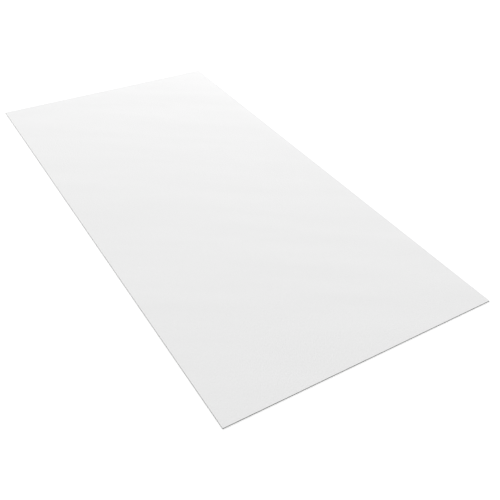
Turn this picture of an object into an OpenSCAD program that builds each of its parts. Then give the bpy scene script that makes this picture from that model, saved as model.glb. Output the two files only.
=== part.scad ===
// Wall panel: one flat sheet of glass-fibre reinforced plastic, in millimetres.
//
// The sheet lies on its back with the finished face up. The origin is the centre
// of the back face, +X runs along the sheet, +Y across it, and +Z points out of
// the finished face. It is moulded in one piece and then sawn to size.

/* [Sheet] */

// Length of the sheet, along X
sheet_length = 2438.4; // [300:0.1:3660]

// Width of the sheet, along Y
sheet_width = 1219.2; // [150:0.1:1530]

// Thickness of the sheet, along Z
sheet_thickness = 3.175; // [1.2:0.005:12]

/* [Trimmed edges] */

// How far the burr is scraped back where a face meets a sawn edge
arris = 0.2; // [0.05:0.01:0.5]

// How far each upright corner is cut back where two sawn edges meet
corner_cut = 0.8; // [0.1:0.1:20]

/* [Hidden] */

// How far each extrusion runs past the sheet at both ends, so that no two faces
// of the intersection lie on each other
overrun = 5;

// A rectangle about the origin, with its corners cut off at 45 degrees
module cut_rectangle(x, y, cut) {
    polygon([
        [-x / 2 + cut, -y / 2],
        [ x / 2 - cut, -y / 2],
        [ x / 2, -y / 2 + cut],
        [ x / 2,  y / 2 - cut],
        [ x / 2 - cut,  y / 2],
        [-x / 2 + cut,  y / 2],
        [-x / 2,  y / 2 - cut],
        [-x / 2, -y / 2 + cut]
    ]);
}

// The same rectangle drawn out to the given depth, centred along it
module cut_bar(x, y, cut, depth) {
    linear_extrude(depth + 2 * overrun, center = true)
        cut_rectangle(x, y, cut);
}

// The sheet is what its plan and its two sections have in common: the plan cuts
// the upright corners, and the sections take the burr off every arris
module panel() {
    color("white")
        translate([0, 0, sheet_thickness / 2])
            intersection() {
                // Plan, seen from above
                cut_bar(sheet_length, sheet_width, corner_cut, sheet_thickness);
                // Section along the length, drawn out across the width
                rotate([90, 0, 0])
                    cut_bar(sheet_length, sheet_thickness, arris, sheet_width);
                // Section across the width, drawn out along the length
                rotate([90, 0, 90])
                    cut_bar(sheet_width, sheet_thickness, arris, sheet_length);
            }
}

panel();
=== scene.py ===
import math

import bpy
import numpy as np
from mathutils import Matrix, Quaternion, Vector


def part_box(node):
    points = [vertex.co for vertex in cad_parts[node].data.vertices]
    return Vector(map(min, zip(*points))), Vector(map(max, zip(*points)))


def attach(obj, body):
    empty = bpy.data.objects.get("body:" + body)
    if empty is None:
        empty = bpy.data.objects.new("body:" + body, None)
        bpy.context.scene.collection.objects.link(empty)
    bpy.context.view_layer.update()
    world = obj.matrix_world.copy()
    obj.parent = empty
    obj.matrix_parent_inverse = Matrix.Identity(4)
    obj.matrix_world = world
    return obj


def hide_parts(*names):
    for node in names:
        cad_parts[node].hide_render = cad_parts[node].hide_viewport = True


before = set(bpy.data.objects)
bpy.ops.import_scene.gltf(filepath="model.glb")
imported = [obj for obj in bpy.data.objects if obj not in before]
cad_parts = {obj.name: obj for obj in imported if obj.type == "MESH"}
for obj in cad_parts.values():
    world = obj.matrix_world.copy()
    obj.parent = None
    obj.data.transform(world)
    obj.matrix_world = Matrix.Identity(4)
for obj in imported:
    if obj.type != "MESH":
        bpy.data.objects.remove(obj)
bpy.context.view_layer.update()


# ---------------------------------------------------------------- The sheet
# One sheet of glass-fibre reinforced polyester, 1.2 by 2.4 metres. Resin and chopped
# glass are pressed between two films under an embossed roller, cured flat and sawn to
# size, and the burr is scraped off every edge. It lies loose on its back, centred on
# the origin.

sheet_low, sheet_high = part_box("panel")
SCRAPE = 0.0002          # radius that the scraper leaves on each arris
CORNER = 0.0008          # radius of the upright corners, taken off with a file
GRID = 0.016             # spacing of the face's own mesh, fine enough for its waves
ARC_CELLS = 4            # mesh cells along each side of an upright corner
ARRIS_STEPS = 4          # mesh steps round each arris
SAG = 0.00006            # how far the cured face falls and rises over its length
FLAT_RIM = 0.08          # width of the strip along its rim in which that dies away


def corner_lines(half, radius, cells, step):
    """Grid lines from -half to half: even ones about `step` apart in the middle, and
    `cells` narrow ones over the last `radius` at each end, where the corner is round."""
    inner = half - radius
    middle = np.linspace(-inner, inner, 2 * round(inner / step) + 1)
    narrow = inner + radius * np.arange(1, cells + 1) / cells
    return np.concatenate([-narrow[::-1], middle, narrow])


def past_centres(x, y, half_x, half_y, radius):
    """How far each point lies, along x and along y, outside the rectangle whose corners
    are the centres of the four corner circles."""
    out_x = np.sign(x) * np.maximum(np.abs(x) - (half_x - radius), 0)
    out_y = np.sign(y) * np.maximum(np.abs(y) - (half_y - radius), 0)
    return out_x, out_y


def round_corners(x, y, half_x, half_y, radius):
    """Moves the grid points in each corner square onto quarter circles: a point keeps
    the larger of its two distances from the corner's centre as its radius there."""
    out_x, out_y = past_centres(x, y, half_x, half_y, radius)
    reach = np.hypot(out_x, out_y)
    kept = np.maximum(np.abs(out_x), np.abs(out_y))
    pull = np.divide(kept, reach, out=np.ones_like(reach), where=reach > 0)
    return x + out_x * (pull - 1), y + out_y * (pull - 1)


def cure_waves(x, y, depth):
    """Depth below the highest point of a face that cured not quite flat: four long sine
    waves that cross, each with its own length and heading, added and scaled to `depth`."""
    waves = ((0.62, 20, 0.3, 1.0), (0.41, 75, 1.9, 0.7), (0.27, 140, 4.0, 0.4), (0.19, 100, 2.6, 0.25))
    total = np.zeros_like(x)
    for length, heading, phase, share in waves:
        along = x * math.cos(math.radians(heading)) + y * math.sin(math.radians(heading))
        total += share * np.sin(2 * math.pi * along / length + phase)
    return depth * (0.5 - 0.5 * total / sum(share for *_, share in waves))


def edge_profile(bottom, top):
    """The edge's section between the face's rim and the back's, as a reach outwards and
    a level for each ring: a quarter circle outwards, straight down, and one back in."""
    turn = np.linspace(0, math.pi / 2, ARRIS_STEPS + 1)
    reach = SCRAPE * np.concatenate([np.sin(turn), np.cos(turn)])
    upper = top - SCRAPE * (1 - np.cos(turn))
    lower = bottom + SCRAPE * (1 - np.sin(turn))
    return reach[1:-1], np.concatenate([upper, lower])[1:-1]


def join_rings(rings):
    """The quads between each ring of points and the next one down, all the way round."""
    upper, lower = rings[:-1], rings[1:]
    quads = np.stack([upper, lower, np.roll(lower, -1, 1), np.roll(upper, -1, 1)], -1)
    return quads.reshape(-1, 4)


def sheet_mesh(name, low, high):
    """A closed sheet. Its face and its back are the same rounded grid at two heights,
    and a band joins their rims: the edge's section, carried round the rim along the
    direction that points outwards there."""
    half_x = (high[0] - low[0]) / 2 - SCRAPE
    half_y = (high[1] - low[1]) / 2 - SCRAPE
    radius = CORNER - SCRAPE
    lines_x = corner_lines(half_x, radius, ARC_CELLS, GRID)
    lines_y = corner_lines(half_y, radius, ARC_CELLS, GRID)
    flat_x, flat_y = np.meshgrid(lines_x, lines_y, indexing="ij")
    x, y = round_corners(flat_x, flat_y, half_x, half_y, radius)
    rows, columns = x.shape
    count = rows * columns
    index = np.arange(count).reshape(rows, columns)

    # The face sinks along its waves, but keeps its full height at the rim.
    from_rim = np.minimum(half_x - np.abs(x), half_y - np.abs(y))
    fade = np.clip(from_rim / FLAT_RIM, 0, 1)
    top = high[2] - cure_waves(x, y, SAG) * fade * fade * (3 - 2 * fade)
    back = np.full_like(x, low[2])

    # The rim runs once round the grid, anticlockwise as seen from above.
    rim = np.concatenate([index[:-1, 0], index[-1, :-1], index[:0:-1, -1], index[0, :0:-1]])
    rim_x, rim_y = x.ravel()[rim], y.ravel()[rim]
    out_x, out_y = past_centres(rim_x, rim_y, half_x, half_y, radius)
    length = np.hypot(out_x, out_y)
    reach, level = edge_profile(low[2], high[2])
    band_x = rim_x + reach[:, None] * out_x / length
    band_y = rim_y + reach[:, None] * out_y / length
    band_z = np.repeat(level[:, None], len(rim), axis=1)

    points = np.concatenate([
        np.stack([x, y, top], -1).reshape(-1, 3),
        np.stack([x, y, back], -1).reshape(-1, 3),
        np.stack([band_x, band_y, band_z], -1).reshape(-1, 3),
    ])

    face = np.stack([index[:-1, :-1], index[1:, :-1], index[1:, 1:], index[:-1, 1:]], -1)
    face = face.reshape(-1, 4)
    under = face[:, ::-1] + count
    own_rings = np.arange(band_z.size).reshape(band_z.shape) + 2 * count
    band = join_rings(np.concatenate([rim[None], own_rings, rim[None] + count]))

    mesh = bpy.data.meshes.new(name)
    quads = np.concatenate([face, under, band])
    mesh.from_pydata(points.tolist(), [], quads.tolist())
    finish = np.repeat([0, 1, 2], [len(face), len(under), len(band)]).astype(np.int32)
    mesh.polygons.foreach_set("material_index", finish)
    mesh.polygons.foreach_set("use_smooth", np.ones(len(quads), bool))
    mesh.update()
    return mesh


def linear(colour):
    """sRGB hex to the linear RGBA that a shader takes."""
    channels = [int(colour[i:i + 2], 16) / 255 for i in (1, 3, 5)]
    return [c / 12.92 if c <= 0.04045 else ((c + 0.055) / 1.055) ** 2.4 for c in channels] + [1]


def add(tree, kind, inputs, **settings):
    """Adds a node with its settings. An input is a value, or (node, output) to link. A Mix
    node's sockets go by number: 0 is the share, 6 and 7 the colours, or 2 and 3 the numbers."""
    made = tree.nodes.new(kind)
    for name, value in settings.items():
        setattr(made, name, value)
    for socket, value in inputs.items():
        if isinstance(value, tuple) and isinstance(value[0], bpy.types.Node):
            tree.links.new(value[0].outputs[value[1]], made.inputs[socket])
        else:
            made.inputs[socket].default_value = value
    return made


def new_material(name):
    """An empty node material, and its tree."""
    made = bpy.data.materials.new(name)
    made.use_nodes = True
    made.node_tree.nodes.clear()
    return made, made.node_tree


def gelcoat():
    """White polyester gelcoat with a pebble emboss, satin: the roller leaves low round pebbles about 6
    mm wide. Faint long bands a hand's width apart, a shade lighter and darker, are a painted reflection
    in its colour, and its roughness follows them."""
    reflection_streak_heading = math.radians(57)
    reflection_streak_size = (0.80, 0.11, 1)    # length and width of a streak
    pebble = 0.006                   # width of a pebble
    pebble_height = 0.0004
    drift_size = 2 * pebble          # over which the pebbles' places drift
    drift_reach = (0.004, 0.004, 0)  # and how far they do

    made, tree = new_material("embossed_white_gelcoat")
    place = add(tree, "ShaderNodeTexCoord", {})
    drawn = add(tree, "ShaderNodeMapping", {
        "Vector": (place, "Object"), "Rotation": (0, 0, reflection_streak_heading), "Scale": reflection_streak_size},
        vector_type="TEXTURE")
    painted_reflection_streaks = add(tree, "ShaderNodeTexNoise", {
        "Vector": (drawn, "Vector"), "Scale": 1.0, "Detail": 2.0, "Roughness": 0.5})
    shade = add(tree, "ShaderNodeMapRange", {
        "Value": (painted_reflection_streaks, "Fac"), "From Min": 0.3, "From Max": 0.7})
    # The colour goes a shade lighter and darker along these bands: a painted reflection.
    colour = add(tree, "ShaderNodeMix", {
        0: (shade, "Result"), 6: linear("#e7e7e7"), 7: linear("#e9e9e9")}, data_type="RGBA")
    sheen = add(tree, "ShaderNodeMapRange", {
        "Value": (painted_reflection_streaks, "Fac"), "From Min": 0.3, "From Max": 0.7, "To Min": 0.42, "To Max": 0.38})
    drift = add(tree, "ShaderNodeTexNoise", {
        "Vector": (place, "Object"), "Scale": 1 / drift_size, "Detail": 1.0})
    warp = add(tree, "ShaderNodeVectorMath", {
        0: (drift, "Color"), 1: (0.5, 0.5, 0.5)}, operation="SUBTRACT")
    bend = add(tree, "ShaderNodeVectorMath", {
        0: (warp, "Vector"), 1: drift_reach, 2: (place, "Object")}, operation="MULTIPLY_ADD")
    pebbles = add(tree, "ShaderNodeTexVoronoi", {
        "Vector": (bend, "Vector"), "Scale": 1 / pebble, "Smoothness": 0.35}, feature="SMOOTH_F1")
    relief = add(tree, "ShaderNodeBump", {
        "Height": (pebbles, "Distance"), "Distance": pebble_height, "Strength": 1.0}, invert=True)
    shader = add(tree, "ShaderNodeBsdfPrincipled", {
        "Base Color": (colour, 2), "Roughness": (sheen, "Result"), "IOR": 1.52,
        "Normal": (relief, "Normal")})
    add(tree, "ShaderNodeOutputMaterial", {"Surface": (shader, "BSDF")})
    return made


def plain_back():
    """The back of the laminate, which cured against a smooth film: bare off-white resin,
    duller than the face, in which the chopped glass shows as pale strands 1 mm wide."""
    headings = (12, 41, 77, 98, 133, 164)  # degrees, one layer of strands for each
    strand_size = (0.030, 0.0012, 1)       # length and width
    strand_height = 0.00004

    made, tree = new_material("bare_laminate_back")
    place = add(tree, "ShaderNodeTexCoord", {})
    strands = None
    for heading in headings:
        turned = add(tree, "ShaderNodeMapping", {
            "Vector": (place, "Object"), "Rotation": (0, 0, math.radians(heading)),
            "Scale": strand_size}, vector_type="TEXTURE")
        layer = add(tree, "ShaderNodeTexNoise", {
            "Vector": (turned, "Vector"), "Scale": 1.0, "Detail": 0.0})
        strand = add(tree, "ShaderNodeMapRange", {
            "Value": (layer, "Fac"), "From Min": 0.60, "From Max": 0.70})
        if strands is None:
            strands = strand, "Result"
        else:
            over = add(tree, "ShaderNodeMath", {0: strands, 1: (strand, "Result")}, operation="MAXIMUM")
            strands = over, "Value"
    colour = add(tree, "ShaderNodeMix", {
        0: strands, 6: linear("#cfcfca"), 7: linear("#dededa")}, data_type="RGBA")
    relief = add(tree, "ShaderNodeBump", {"Height": strands, "Distance": strand_height, "Strength": 1.0})
    shader = add(tree, "ShaderNodeBsdfPrincipled", {
        "Base Color": (colour, 2), "Roughness": 0.55, "IOR": 1.52, "Normal": (relief, "Normal")})
    add(tree, "ShaderNodeOutputMaterial", {"Surface": (shader, "BSDF")})
    return made


def sawn_edge():
    """The sawn edge: resin and cut glass ends, dull, with hardly a gleam. Its dark grey is painted
    shade, far darker than the cut resin itself, which darkens the line along the sheet's near edges. The
    blade leaves upright marks 0.6 mm apart, and the glass lies in dashes 4 mm long."""
    dash_length = 0.004
    dash_height = 0.0005
    mark_spacing = 0.0006
    mark_length = 0.006      # up the edge, so that a mark crosses it whole
    mark_depth = 0.00006

    made, tree = new_material("sawn_laminate_edge")
    place = add(tree, "ShaderNodeTexCoord", {})
    parts = add(tree, "ShaderNodeSeparateXYZ", {"Vector": (place, "Object")})
    along = add(tree, "ShaderNodeMath", {0: (parts, "X"), 1: (parts, "Y")}, operation="ADD")
    spread = add(tree, "ShaderNodeCombineXYZ", {"X": (along, "Value"), "Z": (parts, "Z")})
    dashes_at = add(tree, "ShaderNodeMapping", {
        "Vector": (spread, "Vector"), "Scale": (1 / dash_length, 0, 1 / dash_height)})
    dashes = add(tree, "ShaderNodeTexNoise", {
        "Vector": (dashes_at, "Vector"), "Scale": 1.0, "Detail": 2.0})
    marks_at = add(tree, "ShaderNodeMapping", {
        "Vector": (spread, "Vector"), "Scale": (1 / mark_spacing, 0, 1 / mark_length)})
    marks = add(tree, "ShaderNodeTexNoise", {
        "Vector": (marks_at, "Vector"), "Scale": 1.0, "Detail": 1.0})
    both = add(tree, "ShaderNodeMath", {0: (dashes, "Fac"), 1: (marks, "Fac")}, operation="ADD")
    shade = add(tree, "ShaderNodeMapRange", {
        "Value": (both, "Value"), "From Min": 0.7, "From Max": 1.3})
    # Both greys are painted shade, far darker than the cut resin; the dashes and marks only vary them.
    colour = add(tree, "ShaderNodeMix", {
        0: (shade, "Result"), 6: linear("#454544"), 7: linear("#6e6e6c")}, data_type="RGBA")
    relief = add(tree, "ShaderNodeBump", {
        "Height": (marks, "Fac"), "Distance": mark_depth, "Strength": 1.0})
    shader = add(tree, "ShaderNodeBsdfPrincipled", {
        "Base Color": (colour, 2), "Roughness": 0.75, "IOR": 1.52, "Specular IOR Level": 0.2,
        "Normal": (relief, "Normal")})
    add(tree, "ShaderNodeOutputMaterial", {"Surface": (shader, "BSDF")})
    return made


sheet = bpy.data.objects.new("wall_sheet", sheet_mesh("wall_sheet", sheet_low, sheet_high))
bpy.context.scene.collection.objects.link(sheet)
for finish in (gelcoat(), plain_back(), sawn_edge()):
    sheet.data.materials.append(finish)
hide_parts("panel")
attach(sheet, "root")


# ---------------------------------------------------------------- The studio
# A plain white floor that the sheet lies on, under a soft white sky that is brighter
# overhead and towards the sheet's far left corner. One large soft lamp stands off its
# far right corner.

FLOOR = 30.0              # width of the floor
FLOOR_DROP = 0.0006       # the sheet bears on its high spots, and the rest is this much lower
FLOOR_GLOW = 0.37         # light of its own that makes it plain white where it is seen
SKY = 1.113               # strength of the sky straight overhead
HORIZON = 0.1             # share of that strength at the horizon, from where it rises
BRIGHT = (-0.8, -0.6, 0)  # level direction of its bright side, past the sheet's far left corner
LEAN = 0.95               # share by which it is stronger on that side, and weaker on the other

floor_mesh = bpy.data.meshes.new("floor")
floor_mesh.from_pydata(
    [(x * FLOOR / 2, y * FLOOR / 2, -FLOOR_DROP) for x, y in ((-1, -1), (1, -1), (1, 1), (-1, 1))],
    [], [(0, 1, 2, 3)])
floor = bpy.data.objects.new("floor", floor_mesh)
bpy.context.scene.collection.objects.link(floor)


def seen_directly(tree):
    """1 for a ray from the camera or one that a gloss or a clear surface sends on."""
    rays = add(tree, "ShaderNodeLightPath", {})
    seen = add(tree, "ShaderNodeMath", {
        0: (rays, "Is Camera Ray"), 1: (rays, "Is Glossy Ray")}, operation="MAXIMUM")
    return add(tree, "ShaderNodeMath", {
        0: (seen, "Value"), 1: (rays, "Is Transmission Ray")}, operation="MAXIMUM")


white_floor, tree = new_material("white_floor")
lift = add(tree, "ShaderNodeMath", {
    0: (seen_directly(tree), "Value"), 1: FLOOR_GLOW}, operation="MULTIPLY")
paint = add(tree, "ShaderNodeBsdfDiffuse", {"Color": linear("#e1e1e1")})
glow = add(tree, "ShaderNodeEmission", {"Color": (1, 1, 1, 1), "Strength": (lift, "Value")})
both = add(tree, "ShaderNodeAddShader", {0: (paint, "BSDF"), 1: (glow, "Emission")})
add(tree, "ShaderNodeOutputMaterial", {"Surface": (both, "Shader")})
floor.data.materials.append(white_floor)

world = bpy.data.worlds.new("studio")
bpy.context.scene.world = world
world.use_nodes = True
tree = world.node_tree
tree.nodes.clear()
where = add(tree, "ShaderNodeTexCoord", {})
parts = add(tree, "ShaderNodeSeparateXYZ", {"Vector": (where, "Generated")})
height = add(tree, "ShaderNodeMath", {0: (parts, "Z"), 1: HORIZON}, operation="ADD", use_clamp=True)
towards = add(tree, "ShaderNodeVectorMath", {
    0: (where, "Generated"), 1: BRIGHT}, operation="DOT_PRODUCT")
lean = add(tree, "ShaderNodeMath", {
    0: (towards, "Value"), 1: SKY * LEAN, 2: SKY}, operation="MULTIPLY_ADD")
soft = add(tree, "ShaderNodeMath", {0: (height, "Value"), 1: (lean, "Value")}, operation="MULTIPLY")
level = add(tree, "ShaderNodeMix", {
    0: (seen_directly(tree), "Value"), 2: (soft, "Value"), 3: 1.0}, data_type="FLOAT")
sky = add(tree, "ShaderNodeBackground", {"Color": (1, 1, 1, 1), "Strength": (level, 0)})
add(tree, "ShaderNodeOutputWorld", {"Surface": (sky, "Background")})


def lamp(name, place, aim, width, power):
    """A square soft lamp at `place` that faces `aim`, and isn't itself seen or mirrored."""
    data = bpy.data.lights.new(name, "AREA")
    data.shape = "SQUARE"
    data.size = width
    data.energy = power
    made = bpy.data.objects.new(name, data)
    made.location = place
    made.rotation_euler = (Vector(aim) - Vector(place)).to_track_quat("-Z", "Y").to_euler()
    made.visible_camera = False
    made.visible_glossy = False
    bpy.context.scene.collection.objects.link(made)


lamp("far_softbox", place=(-5.82, 3.99, 3.29), aim=(-0.6, 0.2, 0), width=3.0, power=329)


# ---------------------------------------------------------------- The camera
# It stands off the sheet's near corner and looks down along its length, tipped a
# little to one side and with the lens slid a little sideways.

AIM = Vector((0.469, -0.075, 0.0))    # where its axis meets the sheet
DISTANCE = 2.882                      # from there to the lens
AZIMUTH = math.radians(57.38)         # of its view, from +Y towards -X
ELEVATION = math.radians(38.86)
ROLL = math.radians(2.26)             # anticlockwise, as seen from behind it
FOCAL = 48.57                         # mm, on a sensor 36 mm wide
SLIDE = 0.012                         # of the lens, in widths of its view

camera = bpy.data.objects.new("camera", bpy.data.cameras.new("camera"))
camera.data.sensor_width = 36
camera.data.lens = FOCAL
camera.data.shift_x = SLIDE
back = Vector((
    math.sin(AZIMUTH) * math.cos(ELEVATION),
    -math.cos(AZIMUTH) * math.cos(ELEVATION),
    math.sin(ELEVATION)))
camera.location = AIM + DISTANCE * back
camera.rotation_euler = (back.to_track_quat("Z", "Y") @ Quaternion((0, 0, 1), ROLL)).to_euler()
bpy.context.scene.collection.objects.link(camera)
bpy.context.scene.camera = camera

bpy.context.scene.view_settings.view_transform = "Standard"
